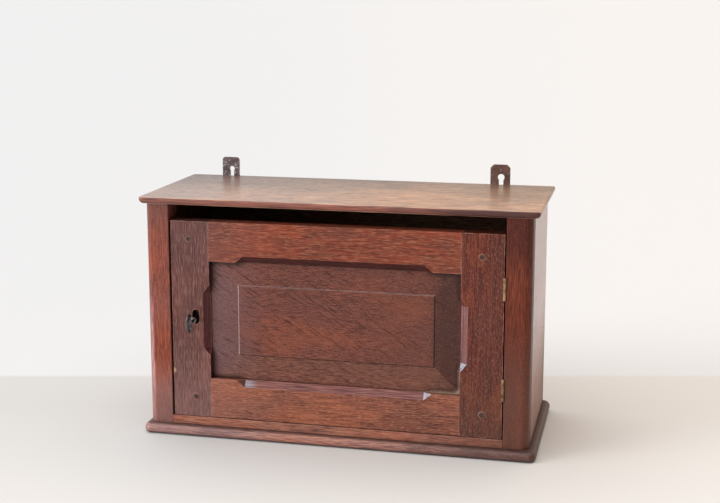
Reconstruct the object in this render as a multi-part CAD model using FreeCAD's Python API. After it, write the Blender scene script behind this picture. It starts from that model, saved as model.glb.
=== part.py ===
"""Small oak wall cabinet: a pegged, panelled and locked door, a nosed top and plinth, and hanging plates.

Lengths are in millimetres. The origin is on the plinth's underside, under the middle of the case.
+X points to the viewer's right, +Y to the wall and +Z up.
"""
import FreeCAD, Part
import math
import os

Vec = FreeCAD.Vector

# Case
CASE_WIDTH = 500.0
CASE_DEPTH = 205.0
CASE_HEIGHT = 315.5
TOP_THICKNESS = 9.0
TOP_LEFT_OVERHANG = 8.0
TOP_RIGHT_OVERHANG = 9.5
TOP_FRONT_OVERHANG = 5.0
TOP_CORNER_R = 8.0
TOP_UPPER_R = 2.6
TOP_LOWER_R = 6.2
PLINTH_THICKNESS = 13.5
PLINTH_LEFT_OVERHANG = 7.0
PLINTH_RIGHT_OVERHANG = 9.8
PLINTH_FRONT_OVERHANG = 9.2
PLINTH_CORNER_R = 10.0
PLINTH_UPPER_R = 8.0
PLINTH_LOWER_R = 5.0
POST_WIDTH = 32.0
POST_DEPTH = 30.0
POST_OUTER_R = 11.0
ARRIS_R = 1.0
SIDE_THICKNESS = 18.0
BOTTOM_THICKNESS = 11.2
TONGUE_THICKNESS = 6.0
TONGUE_LENGTH = 8.0
JOINT_CLEARANCE = 0.1
END_CLEARANCE = 0.4

# Back boards
BACK_THICKNESS = 10.0
BACK_REBATE = 9.0
BACK_BOARD_COUNT = 3
BACK_TONGUE_THICKNESS = 3.4
BACK_TONGUE_LENGTH = 5.0

# Door frame
DOOR_RECESS = 2.0
DOOR_THICKNESS = 20.0
DOOR_GAP_LOCK = 2.3
DOOR_GAP_HINGE = 1.8
DOOR_GAP_BOTTOM = 0.6
DOOR_SLOT = 21.0
LOCK_STILE_WIDTH = 51.0
HINGE_STILE_WIDTH = 53.4
RAIL_WIDTH = 52.0
TENON_LENGTH = 38.0
TENON_THICKNESS = 6.0
TENON_OUTER_SHOULDER = 12.0
GROOVE_SETBACK = 7.4
GROOVE_WIDTH = 4.7
GROOVE_DEPTH = 7.0
CHAMFER_FACE = 8.8
CHAMFER_DEPTH = 6.2
CHAMFER_STOP = 10.5
CHAMFER_INSET_RAIL = 35.5
CHAMFER_INSET_STILE = 31.0
PEG_R = 4.0
PEG_PROUD = 0.9
PEG_FIT = 0.05

# Pegs were bored by eye: drift of each from the middle of its tenon, across and up
PEG_DRIFT = {
    ("lock", "top"): (-1.8, 5.2),
    ("hinge", "top"): (-0.9, -0.9),
    ("lock", "bottom"): (4.4, -1.9),
    ("hinge", "bottom"): (1.1, 1.1),
}

# Door panel
FIELD_MARGIN_LOCK = 37.5
FIELD_MARGIN_HINGE = 32.5
FIELD_MARGIN_TOP = 29.2
FIELD_MARGIN_BOTTOM = 33.5
BEVEL_RISE = 3.2
FIELD_STEP = 1.6
FIELD_SLOPE = 1.4

# Door stop
STOP_LENGTH = 200.0
STOP_SIZE = 12.0
STOP_BEVEL = 4.0
STOP_CLEARANCE = 0.3

# Hinges
HINGE_HEIGHT = 28.0
HINGE_INSET_TOP = 68.0
HINGE_INSET_BOTTOM = 64.0
HINGE_AXIS_PROUD = 1.0
LEAF_THICKNESS = 1.2
LEAF_GAP = 0.2
LEAF_WIDTH = 15.0
KNUCKLE_R = 2.5
KNUCKLE_GAP = 0.2
KNUCKLE_RELIEF = 0.5
KNUCKLE_END_GAP = 0.4
HINGE_PIN_R = 1.1
HINGE_PIN_FIT = 0.05
HINGE_SCREW_SPACING = 15.0
HINGE_SCREW_SETBACK = 9.5

# Lock
LOCK_BACKSET = 31.9
KEY_HEIGHT = 131.7
LOCK_PLATE_THICKNESS = 1.6
LOCK_PLATE_WIDTH = 48.0
LOCK_PLATE_BELOW = 22.0
LOCK_PLATE_ABOVE = 29.0
LOCK_EDGE_STRIP_DEPTH = 12.0
LOCK_CAP_DEPTH = 5.8
LOCK_CAP_SHEET = 0.8
LOCK_CAP_END = 3.0
LOCK_CAP_BELOW = 9.0
LOCK_CAP_ABOVE = 18.0
LOCK_FLANGE = 6.0
LOCK_SCREW_INSET = 3.4
RIVET_R = 1.0
RIVET_INSET = 8.0
BOLT_THICKNESS = 4.2
BOLT_HEIGHT = 9.5
BOLT_RISE = 4.5
BOLT_TAIL = 11.8
BOLT_TRAVEL = 7.0
BOLT_CLEARANCE = 0.4
TALON_LEFT = 2.0
TALON_RIGHT = 9.0
TALON_HEIGHT = 3.0
SPRING_SHEET = 0.6
SPRING_WIDTH = 3.0
SPRING_FOOT = 6.0
SPRING_RISE = 2.0
SPRING_LENGTH = 24.0
BOLT_MORTISE_DEPTH = 9.0
BOLT_MORTISE_CLEARANCE = 0.8

# Keyhole and key
KEYHOLE_WIDTH = 9.6
KEYHOLE_ABOVE = 12.4
KEYHOLE_BELOW = 7.4
KEY_SHANK_R = 2.3
KEY_PIVOT_FIT = 0.06
KEY_PIVOT_PROUD = 0.4
KEY_WARD_CLEARANCE = 0.4
BIT_REACH = 6.5
BIT_WIDTH = 2.4
BIT_CLEARANCE = 0.3
BIT_NOTCH = 1.0
KEY_STANDOFF = 26.0
BOW_HALF_HEIGHT = 12.5
BOW_HALF_DEPTH = 8.0
BOW_RIM = 3.5
BOW_THICKNESS = 3.2
BOW_CHAMFER = 1.0
COLLAR_R = 3.6
COLLAR_LENGTH = 2.6
COLLAR_STANDOFF = 9.0

# Hanging plates
HANGER_THICKNESS = 2.0
HANGER_DROP = 40.0
HANGER_FIT = 0.1
HANGER_FOOT = 6.0
HANGER_SCREW_UPPER = 16.0
HANGER_SCREW_LOWER = 31.0
EYE_SLOT_DROP = 2.5
LEFT_HANGER_INSET = 49.9
LEFT_HANGER_WIDTH = 25.0
LEFT_HANGER_RISE = 26.5
LEFT_HANGER_CORNER_R = 4.5
LEFT_EYE_SHIFT = 1.7
LEFT_EYE_RISE = 10.0
LEFT_EYE_R = 3.7
LEFT_EYE_SLOT = 5.2
RIGHT_HANGER_INSET = 65.1
RIGHT_HANGER_WIDTH = 27.0
RIGHT_HANGER_RISE = 27.5
RIGHT_HANGER_CLIP = 4.4
RIGHT_EYE_SHIFT = 1.2
RIGHT_EYE_RISE = 10.0
RIGHT_EYE_R = 4.6
RIGHT_EYE_SLOT = 6.2

# Fasteners
FASTENER_FIT = 0.05
DOWEL_R = 3.0
DOWEL_IN_TOP = 5.0
DOWEL_IN_CASE = 15.0
DOWEL_REAR_INSET = 45.0
PLINTH_SCREW_REAR_INSET = 25.0
PLINTH_SCREW = {"head": 4.0, "shank": 2.0, "length": 34.0}
HINGE_SCREW = {"head": 2.2, "shank": 1.1, "length": 12.0}
LOCK_SCREW = {"head": 2.2, "shank": 1.1, "length": 7.0}
HANGER_SCREW = {"head": 3.4, "shank": 1.6, "length": 9.0}
SCREW_SLOT_RATIO = 0.22
NAIL_LENGTH = 22.0
NAIL_THICKNESS = 2.0
NAIL_NECK = 2.6
NAIL_TIP = 1.4
NAIL_HEAD_WIDTH = 4.4
NAIL_HEAD_DEPTH = 0.8
NAIL_SPACING = 60.0

# Planes and lines that several pieces share
X_SIDE = CASE_WIDTH / 2
X_SIDE_INNER = X_SIDE - SIDE_THICKNESS
X_OPENING = X_SIDE - POST_WIDTH
X_POST = X_SIDE - POST_WIDTH / 2
Y_FRONT = -CASE_DEPTH / 2
Y_BACK = CASE_DEPTH / 2
Y_POST = Y_FRONT + POST_DEPTH / 2
Y_POST_BACK = Y_FRONT + POST_DEPTH
Y_BACK_INNER = Y_BACK - BACK_THICKNESS
Z_CASE = PLINTH_THICKNESS
Z_FLOOR = Z_CASE + BOTTOM_THICKNESS
Z_TOP_UNDER = CASE_HEIGHT - TOP_THICKNESS
TONGUE_MID_X = X_SIDE - SIDE_THICKNESS / 2
REBATE_X = X_SIDE - BACK_REBATE
NAIL_X = (REBATE_X + X_SIDE_INNER) / 2

DOOR_LEFT = -X_OPENING + DOOR_GAP_LOCK
DOOR_RIGHT = X_OPENING - DOOR_GAP_HINGE
DOOR_FACE = Y_FRONT + DOOR_RECESS
DOOR_BACK = DOOR_FACE + DOOR_THICKNESS
DOOR_BOTTOM = Z_FLOOR + DOOR_GAP_BOTTOM
DOOR_TOP = Z_TOP_UNDER - DOOR_SLOT
SIGHT_LEFT = DOOR_LEFT + LOCK_STILE_WIDTH
SIGHT_RIGHT = DOOR_RIGHT - HINGE_STILE_WIDTH
SIGHT_BOTTOM = DOOR_BOTTOM + RAIL_WIDTH
SIGHT_TOP = DOOR_TOP - RAIL_WIDTH
GROOVE_FRONT = DOOR_FACE + GROOVE_SETBACK
GROOVE_BACK = GROOVE_FRONT + GROOVE_WIDTH
TENON_FRONT = DOOR_FACE + (DOOR_THICKNESS - TENON_THICKNESS) / 2
TENON_BACK = TENON_FRONT + TENON_THICKNESS
TENON_HEIGHT = RAIL_WIDTH - TENON_OUTER_SHOULDER - GROOVE_DEPTH

HINGE_X = X_OPENING - DOOR_GAP_HINGE / 2
HINGE_Y = DOOR_FACE - HINGE_AXIS_PROUD
HINGE_MIDDLES = {
    "upper": DOOR_TOP - HINGE_INSET_TOP,
    "lower": DOOR_BOTTOM + HINGE_INSET_BOTTOM,
}

KEY_X = DOOR_LEFT + LOCK_BACKSET
KEY_Z = DOOR_BOTTOM + KEY_HEIGHT
LOCK_PLATE_FRONT = DOOR_BACK - LOCK_PLATE_THICKNESS
LOCK_CAP_FRONT = LOCK_PLATE_FRONT - LOCK_CAP_DEPTH
LOCK_RIGHT = DOOR_LEFT + LOCK_PLATE_WIDTH
LOCK_CAP_LEFT = DOOR_LEFT + LOCK_PLATE_THICKNESS
LOCK_CAP_RIGHT = LOCK_RIGHT - LOCK_CAP_END
BOLT_BACK = LOCK_PLATE_FRONT - BOLT_CLEARANCE
BOLT_FRONT = BOLT_BACK - BOLT_THICKNESS
BOLT_LOW = KEY_Z + BOLT_RISE
BOLT_HIGH = BOLT_LOW + BOLT_HEIGHT

HANGER_FRONT = Y_BACK - HANGER_THICKNESS
HANGER_LOW = CASE_HEIGHT - HANGER_DROP
LEFT_HANGER_X = -X_SIDE + LEFT_HANGER_INSET
RIGHT_HANGER_X = X_SIDE - RIGHT_HANGER_INSET

# Cutters run this far past the wood, and places nearer than NEAR are the same place
BEYOND = 5.0
NEAR = 1e-4


def block(x, y, z):
    """Cuboid between the two values given for each axis."""
    return Part.makeBox(x[1] - x[0], y[1] - y[0], z[1] - z[0], Vec(x[0], y[0], z[0]))


def prism(points, travel):
    """Solid swept in a straight line from a closed outline of straight edges."""
    outline = Part.makePolygon(points + points[:1])
    return Part.Face(outline).extrude(travel)


def plan(points, z):
    """Solid with a plan outline, standing between two heights."""
    return prism([Vec(x, y, z[0]) for x, y in points], Vec(0, 0, z[1] - z[0]))


def turned(points, foot=Vec(0, 0, 0), axis=Vec(0, 0, 1)):
    """Solid turned from a half outline of (radius, height) points and set on a foot point along an axis."""
    outline = [Vec(radius, 0, height) for radius, height in points]
    face = Part.Face(Part.makePolygon(outline + outline[:1]))
    solid = face.revolve(Vec(0, 0, 0), Vec(0, 0, 1), 360)
    solid.Placement = FreeCAD.Placement(foot, FreeCAD.Rotation(Vec(0, 0, 1), axis))
    return solid


def rod(start, axis, radius, length):
    return Part.makeCylinder(radius, length, start, axis)


def upright_edges(shape, x, y):
    """Edges that stand on one plan point."""
    found = []
    for edge in shape.Edges:
        ends = [vertex.Point for vertex in edge.Vertexes]
        if all(abs(end.x - x) < NEAR and abs(end.y - y) < NEAR for end in ends):
            found.append(edge)
    return found


def level_edges(shape, z):
    """Edges that lie at one height."""
    found = []
    for edge in shape.Edges:
        box = edge.BoundBox
        if abs(box.ZMin - z) < NEAR and abs(box.ZMax - z) < NEAR:
            found.append(edge)
    return found


def rim_edges(shape, z):
    """Edges of the outline at one height, without the straight edge against the wall."""
    return [edge for edge in level_edges(shape, z) if edge.BoundBox.YMin < Y_BACK - NEAR]


def corner_edges(shape, z):
    """Edges that cross the thickness of an upright plate at one height."""
    return [edge for edge in level_edges(shape, z) if edge.BoundBox.XLength < NEAR]


def mirrored(shape):
    return shape.mirror(Vec(0, 0, 0), Vec(1, 0, 0))


# Fasteners

def screw_blank(kind, foot, axis, swell=0.0):
    """Blunt countersunk wood screw without its slot, with its head's face on the foot point."""
    head = kind["head"] + swell
    shank = kind["shank"] + swell
    throat = head - shank
    length = kind["length"] + swell
    outline = [(0, 0), (head, 0), (shank, throat), (shank, length), (0, length)]
    return turned(outline, foot, axis)


def screw(kind, foot, axis, slot_along):
    """Slotted countersunk wood screw."""
    width = SCREW_SLOT_RATIO * kind["head"]
    across = axis.cross(slot_along)
    corner = foot - slot_along * kind["head"] - across * (width / 2) - axis * width
    edge = [corner, corner + across * width, corner + across * width + axis * (2 * width)]
    edge.append(corner + axis * (2 * width))
    slot = prism(edge, slot_along * (2 * kind["head"]))
    return screw_blank(kind, foot, axis).cut(slot)


def dowel_places():
    """Plan points of the dowels between the top and the case."""
    rear_y = Y_BACK - DOWEL_REAR_INSET
    places = [(-X_POST, Y_POST), (X_POST, Y_POST)]
    return places + [(-TONGUE_MID_X, rear_y), (TONGUE_MID_X, rear_y)]


def dowels(swell=0.0):
    solids = []
    for x, y in dowel_places():
        foot = Vec(x, y, Z_TOP_UNDER - DOWEL_IN_CASE - swell)
        length = DOWEL_IN_CASE + DOWEL_IN_TOP + 2 * swell
        solids.append(rod(foot, Vec(0, 0, 1), DOWEL_R + swell, length))
    return solids


def plinth_screw_feet():
    """On each side one screw into the post and two into the side, the second near the back."""
    rear_y = Y_BACK - PLINTH_SCREW_REAR_INSET
    middle_y = (Y_POST + rear_y) / 2
    feet = []
    for side in (-1, 1):
        feet.append(Vec(side * X_POST, Y_POST, 0))
        feet.append(Vec(side * TONGUE_MID_X, middle_y, 0))
        feet.append(Vec(side * TONGUE_MID_X, rear_y, 0))
    return feet


def plinth_screw_holes():
    return [screw_blank(PLINTH_SCREW, foot, Vec(0, 0, 1), FASTENER_FIT) for foot in plinth_screw_feet()]


def plinth_screws():
    return [screw(PLINTH_SCREW, foot, Vec(0, 0, 1), Vec(1, 0, 0)) for foot in plinth_screw_feet()]


def back_board_heights(index):
    pitch = (Z_TOP_UNDER - Z_CASE) / BACK_BOARD_COUNT
    return Z_CASE + index * pitch, Z_CASE + (index + 1) * pitch


def nail_outline(swell):
    """Cut nail seen from above: a flat head on a wedge with a blunt tip, as (across, depth) points."""
    neck = NAIL_HEAD_DEPTH + swell
    half = [(NAIL_HEAD_WIDTH / 2 + swell, 0), (NAIL_HEAD_WIDTH / 2 + swell, neck)]
    half += [(NAIL_NECK / 2 + swell, neck), (NAIL_TIP / 2 + swell, NAIL_LENGTH + swell)]
    return half + [(-across, depth) for across, depth in reversed(half)]


def nails(swell=0.0):
    """Back board nails of even thickness that taper along the boards' grain, their heads let in flush."""
    reach = NAIL_THICKNESS / 2 + swell
    solids = []
    for index in range(BACK_BOARD_COUNT):
        middle = sum(back_board_heights(index)) / 2
        for side in (-1, 1):
            outline = [(side * NAIL_X + across, Y_BACK - depth) for across, depth in nail_outline(swell)]
            for height in (middle - NAIL_SPACING / 2, middle + NAIL_SPACING / 2):
                solids.append(plan(outline, (height - reach, height + reach)))
    return solids


# Case

def nosed_board(overhangs, z, corner_r, upper_r, lower_r):
    """Board with rounded front corners and a nose on the three sides that show, flush with the back.

    The overhangs past the case are those at the left, the right and the front.
    """
    left, right, front = -X_SIDE - overhangs[0], X_SIDE + overhangs[1], Y_FRONT - overhangs[2]
    board = block((left, right), (front, Y_BACK), z)
    corners = upright_edges(board, left, front) + upright_edges(board, right, front)
    board = board.makeFillet(corner_r, corners)
    board = board.makeFillet(upper_r, rim_edges(board, z[1]))
    return board.makeFillet(lower_r, rim_edges(board, z[0]))


def top_board():
    overhangs = (TOP_LEFT_OVERHANG, TOP_RIGHT_OVERHANG, TOP_FRONT_OVERHANG)
    board = nosed_board(overhangs, (Z_TOP_UNDER, CASE_HEIGHT), TOP_CORNER_R, TOP_UPPER_R, TOP_LOWER_R)
    return board.cut(hanger_housings() + dowels(FASTENER_FIT))


def plinth_board():
    overhangs = (PLINTH_LEFT_OVERHANG, PLINTH_RIGHT_OVERHANG, PLINTH_FRONT_OVERHANG)
    board = nosed_board(overhangs, (0, PLINTH_THICKNESS), PLINTH_CORNER_R, PLINTH_UPPER_R, PLINTH_LOWER_R)
    return board.cut(plinth_screw_holes())


def bottom_board():
    """Floor of the case; its front edge runs out between the posts as the strip under the door."""
    front_x = X_OPENING - JOINT_CLEARANCE
    rear_x = X_SIDE_INNER - JOINT_CLEARANCE
    neck = Y_POST_BACK + JOINT_CLEARANCE
    rear = Y_BACK_INNER - JOINT_CLEARANCE
    outline = [(-front_x, Y_FRONT), (front_x, Y_FRONT), (front_x, neck), (rear_x, neck)]
    outline += [(rear_x, rear), (-rear_x, rear), (-rear_x, neck), (-front_x, neck)]
    return plan(outline, (Z_CASE, Z_FLOOR))


def post_blank():
    """Right-hand post: rounded outer corner, eased inner arris, and a groove behind for the side."""
    turn = math.sqrt(0.5)
    centre = Vec(X_SIDE - POST_OUTER_R, Y_FRONT + POST_OUTER_R, Z_CASE)
    round_start = centre + Vec(0, -POST_OUTER_R, 0)
    round_mid = centre + Vec(turn, -turn, 0) * POST_OUTER_R
    round_end = centre + Vec(POST_OUTER_R, 0, 0)
    ease = Vec(X_OPENING + ARRIS_R, Y_FRONT + ARRIS_R, Z_CASE)
    ease_start = ease + Vec(-ARRIS_R, 0, 0)
    ease_mid = ease + Vec(-turn, -turn, 0) * ARRIS_R
    ease_end = ease + Vec(0, -ARRIS_R, 0)
    groove = (TONGUE_MID_X - TONGUE_THICKNESS / 2, TONGUE_MID_X + TONGUE_THICKNESS / 2)
    groove_floor = Y_POST_BACK - TONGUE_LENGTH
    back = [(X_SIDE, Y_POST_BACK), (groove[1], Y_POST_BACK), (groove[1], groove_floor)]
    back += [(groove[0], groove_floor), (groove[0], Y_POST_BACK), (X_OPENING, Y_POST_BACK)]
    corners = [round_end] + [Vec(x, y, Z_CASE) for x, y in back] + [ease_start]
    edges = [Part.makeLine(ease_end, round_start), Part.Arc(round_start, round_mid, round_end).toShape()]
    edges += Part.makePolygon(corners).Edges
    edges.append(Part.Arc(ease_start, ease_mid, ease_end).toShape())
    return Part.Face(Part.Wire(edges)).extrude(Vec(0, 0, Z_TOP_UNDER - Z_CASE))


def left_post():
    """The inner face is mortised for the lock bolt."""
    gap = BOLT_MORTISE_CLEARANCE
    mortise = block(
        (-X_OPENING - BOLT_MORTISE_DEPTH, -X_OPENING + BEYOND),
        (BOLT_FRONT - gap, BOLT_BACK + gap),
        (BOLT_LOW - gap, BOLT_HIGH + gap),
    )
    return mirrored(post_blank()).cut([mortise] + dowels(FASTENER_FIT) + plinth_screw_holes())


def right_post():
    """The inner face is cut for the hinge leaves, with a relief round each knuckle."""
    tools = dowels(FASTENER_FIT) + plinth_screw_holes() + hinge_screw_holes(1)
    leaf_x = (X_OPENING - BEYOND, HINGE_X + LEAF_GAP / 2 + LEAF_THICKNESS)
    leaf_y = (Y_FRONT - BEYOND, HINGE_Y + LEAF_WIDTH)
    for middle in HINGE_MIDDLES.values():
        low, high = hinge_heights(middle)
        tools += [block(leaf_x, leaf_y, (low, high)), knuckle_relief(low, high)]
    return post_blank().cut(tools)


def side_blank():
    """Right-hand side: tongue into the post in front, rebate for the back boards behind."""
    tongue = TONGUE_THICKNESS / 2 - JOINT_CLEARANCE
    tip = Y_POST_BACK - TONGUE_LENGTH + END_CLEARANCE
    inner, outer = TONGUE_MID_X - tongue, TONGUE_MID_X + tongue
    outline = [(X_SIDE_INNER, Y_POST_BACK), (inner, Y_POST_BACK), (inner, tip)]
    outline += [(outer, tip), (outer, Y_POST_BACK), (X_SIDE, Y_POST_BACK)]
    outline += [(X_SIDE, Y_BACK), (REBATE_X, Y_BACK)]
    outline += [(REBATE_X, Y_BACK_INNER), (X_SIDE_INNER, Y_BACK_INNER)]
    return plan(outline, (Z_CASE, Z_TOP_UNDER))


def side_holes():
    return dowels(FASTENER_FIT) + plinth_screw_holes() + nails(FASTENER_FIT)


def right_side_panel():
    return side_blank().cut(side_holes())


def left_side_panel():
    return mirrored(side_blank()).cut(side_holes())


def back_board(index):
    """Board with a groove below and a tongue above wherever it meets a neighbour."""
    low, high = back_board_heights(index)
    half = BACK_TONGUE_THICKNESS / 2
    middle = (Y_BACK + Y_BACK_INNER) / 2
    groove = BACK_TONGUE_LENGTH + END_CLEARANCE
    outline = [(Y_BACK_INNER, low)]
    if index > 0:
        lips = (middle - half - JOINT_CLEARANCE, middle + half + JOINT_CLEARANCE)
        outline += [(lips[0], low), (lips[0], low + groove), (lips[1], low + groove), (lips[1], low)]
    outline += [(Y_BACK, low), (Y_BACK, high)]
    if index < BACK_BOARD_COUNT - 1:
        tip = high + BACK_TONGUE_LENGTH
        outline += [(middle + half, high), (middle + half, tip)]
        outline += [(middle - half, tip), (middle - half, high)]
    outline.append((Y_BACK_INNER, high))
    reach = REBATE_X - JOINT_CLEARANCE
    board = prism([Vec(-reach, y, z) for y, z in outline], Vec(2 * reach, 0, 0))
    return board.cut(nails(FASTENER_FIT) + hanger_housings() + hanger_screw_holes())


def door_stop():
    """Bevelled strip on the floor of the case, just behind the closed door."""
    front = DOOR_BACK + STOP_CLEARANCE
    back = front + STOP_SIZE
    high = Z_FLOOR + STOP_SIZE
    section = [(front, Z_FLOOR), (back, Z_FLOOR), (back, high - STOP_BEVEL)]
    section += [(back - STOP_BEVEL, high), (front, high)]
    return prism([Vec(-STOP_LENGTH / 2, y, z) for y, z in section], Vec(STOP_LENGTH, 0, 0))


# Hanging plates

def hanger_spans():
    """Middle and width of each plate."""
    return [(LEFT_HANGER_X, LEFT_HANGER_WIDTH), (RIGHT_HANGER_X, RIGHT_HANGER_WIDTH)]


def hanger_housings():
    """Shallow housings that let the plates in flush with the back."""
    tools = []
    depth = (HANGER_FRONT, Y_BACK + BEYOND)
    height = (HANGER_LOW - HANGER_FIT, CASE_HEIGHT + BEYOND)
    for middle, width in hanger_spans():
        reach = width / 2 + HANGER_FIT
        tools.append(block((middle - reach, middle + reach), depth, height))
    return tools


def hanger_screw_feet():
    feet = []
    for middle, width in hanger_spans():
        for drop in (HANGER_SCREW_UPPER, HANGER_SCREW_LOWER):
            feet.append(Vec(middle, Y_BACK, CASE_HEIGHT - drop))
    return feet


def hanger_screw_holes():
    return [screw_blank(HANGER_SCREW, foot, Vec(0, -1, 0), FASTENER_FIT) for foot in hanger_screw_feet()]


def hanger_screws():
    return [screw(HANGER_SCREW, foot, Vec(0, -1, 0), Vec(1, 0, 0)) for foot in hanger_screw_feet()]


def eye(x, rise, radius, slot):
    """Keyhole: a round hole that runs down into a narrower slot."""
    centre = Vec(x, HANGER_FRONT - BEYOND, CASE_HEIGHT + rise)
    depth = HANGER_THICKNESS + 2 * BEYOND
    low = CASE_HEIGHT - EYE_SLOT_DROP
    tail = block((x - slot / 2, x + slot / 2), (centre.y, centre.y + depth), (low, centre.z))
    return rod(centre, Vec(0, 1, 0), radius, depth).fuse(tail)


def hanger_blank(middle, width, top):
    """Plate with clipped lower corners."""
    sides = (middle - width / 2, middle + width / 2)
    plate = block(sides, (HANGER_FRONT, Y_BACK), (HANGER_LOW, top))
    return plate.makeChamfer(HANGER_FOOT, corner_edges(plate, HANGER_LOW))


def left_hanger():
    """The upper corners are filed round."""
    top = CASE_HEIGHT + LEFT_HANGER_RISE
    plate = hanger_blank(LEFT_HANGER_X, LEFT_HANGER_WIDTH, top)
    plate = plate.makeFillet(LEFT_HANGER_CORNER_R, corner_edges(plate, top))
    hole = eye(LEFT_HANGER_X + LEFT_EYE_SHIFT, LEFT_EYE_RISE, LEFT_EYE_R, LEFT_EYE_SLOT)
    return plate.cut([hole] + hanger_screw_holes())


def right_hanger():
    """The upper corners are clipped."""
    top = CASE_HEIGHT + RIGHT_HANGER_RISE
    plate = hanger_blank(RIGHT_HANGER_X, RIGHT_HANGER_WIDTH, top)
    plate = plate.makeChamfer(RIGHT_HANGER_CLIP, corner_edges(plate, top))
    hole = eye(RIGHT_HANGER_X + RIGHT_EYE_SHIFT, RIGHT_EYE_RISE, RIGHT_EYE_R, RIGHT_EYE_SLOT)
    return plate.cut([hole] + hanger_screw_holes())


# Hinges

def hinge_heights(middle):
    return middle - HINGE_HEIGHT / 2, middle + HINGE_HEIGHT / 2


def knuckle_heights(middle):
    """Three knuckles: the outer two belong to the post leaf, the middle one to the door leaf."""
    low, high = hinge_heights(middle)
    third = HINGE_HEIGHT / 3
    gap = KNUCKLE_GAP / 2
    post = [(low, low + third - gap), (high - third + gap, high)]
    door = [(low + third + gap, high - third - gap)]
    return {1: post, -1: door}


def knuckle_relief(low, high):
    """Room for the knuckles in the wood."""
    start = Vec(HINGE_X, HINGE_Y, low - KNUCKLE_END_GAP)
    return rod(start, Vec(0, 0, 1), KNUCKLE_R + KNUCKLE_RELIEF, high - low + 2 * KNUCKLE_END_GAP)


def hinge_screw_feet(side):
    """Screws of the post leaves (side 1) or of the door leaves (side -1)."""
    feet = []
    for middle in HINGE_MIDDLES.values():
        for shift in (-HINGE_SCREW_SPACING / 2, HINGE_SCREW_SPACING / 2):
            feet.append(Vec(HINGE_X + side * LEAF_GAP / 2, HINGE_Y + HINGE_SCREW_SETBACK, middle + shift))
    return feet


def hinge_screw_holes(side):
    axis = Vec(side, 0, 0)
    return [screw_blank(HINGE_SCREW, foot, axis, FASTENER_FIT) for foot in hinge_screw_feet(side)]


def hinge_screws(side):
    return [screw(HINGE_SCREW, foot, Vec(side, 0, 0), Vec(0, 0, 1)) for foot in hinge_screw_feet(side)]


def hinge_leaf(side, middle):
    """Leaf with its knuckles, bored for the pin and notched where the other leaf's knuckles turn."""
    low, high = hinge_heights(middle)
    own = knuckle_heights(middle)[side]
    edge = HINGE_Y + KNUCKLE_R + KNUCKLE_RELIEF
    face = HINGE_X + side * LEAF_GAP / 2
    travel = Vec(side * LEAF_THICKNESS, 0, 0)
    corners = [(edge, low), (HINGE_Y + LEAF_WIDTH, low), (HINGE_Y + LEAF_WIDTH, high), (edge, high)]
    leaf = prism([Vec(face, y, z) for y, z in corners], travel)
    for start, end in own:
        web = [(HINGE_Y, start), (edge, start), (edge, end), (HINGE_Y, end)]
        barrel = rod(Vec(HINGE_X, HINGE_Y, start), Vec(0, 0, 1), KNUCKLE_R, end - start)
        leaf = leaf.fuse([prism([Vec(face, y, z) for y, z in web], travel), barrel])
    bore_start = Vec(HINGE_X, HINGE_Y, low - BEYOND)
    bore = rod(bore_start, Vec(0, 0, 1), HINGE_PIN_R + HINGE_PIN_FIT, HINGE_HEIGHT + 2 * BEYOND)
    return leaf.removeSplitter().cut([bore] + hinge_screw_holes(side))


def hinge_pin(middle):
    low, high = hinge_heights(middle)
    return rod(Vec(HINGE_X, HINGE_Y, low), Vec(0, 0, 1), HINGE_PIN_R, high - low)


# Door frame

def tenon_heights(end, swell=0.0):
    """Heights of the tenons of the top or bottom rail, or of their mortises when swollen."""
    if end == "top":
        high = DOOR_TOP - TENON_OUTER_SHOULDER
        return high - TENON_HEIGHT - swell, high + swell
    low = DOOR_BOTTOM + TENON_OUTER_SHOULDER
    return low - swell, low + TENON_HEIGHT + swell


def tenon(side, end, swell=0.0):
    """Tenon at one end of a rail; the swollen one is its mortise."""
    shoulder = SIGHT_LEFT if side == "lock" else SIGHT_RIGHT
    reach = TENON_LENGTH + (END_CLEARANCE if swell else 0.0)
    x = (shoulder - reach, shoulder) if side == "lock" else (shoulder, shoulder + reach)
    return block(x, (TENON_FRONT - swell, TENON_BACK + swell), tenon_heights(end, swell))


def peg_outline(swell=0.0):
    """Half outline of a peg that stands a little proud of the door face, with an eased rim."""
    radius = PEG_R + swell
    crown = DOOR_THICKNESS + PEG_PROUD
    return [(0, 0), (radius, 0), (radius, DOOR_THICKNESS), (radius - PEG_PROUD, crown), (0, crown)]


def pegs(swell=0.0):
    solids = []
    for (side, end), (drift_x, drift_z) in PEG_DRIFT.items():
        stile = DOOR_LEFT + SIGHT_LEFT if side == "lock" else DOOR_RIGHT + SIGHT_RIGHT
        height = sum(tenon_heights(end)) / 2
        foot = Vec(stile / 2 + drift_x, DOOR_BACK, height + drift_z)
        solids.append(turned(peg_outline(swell), foot, Vec(0, -1, 0)))
    return solids


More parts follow.
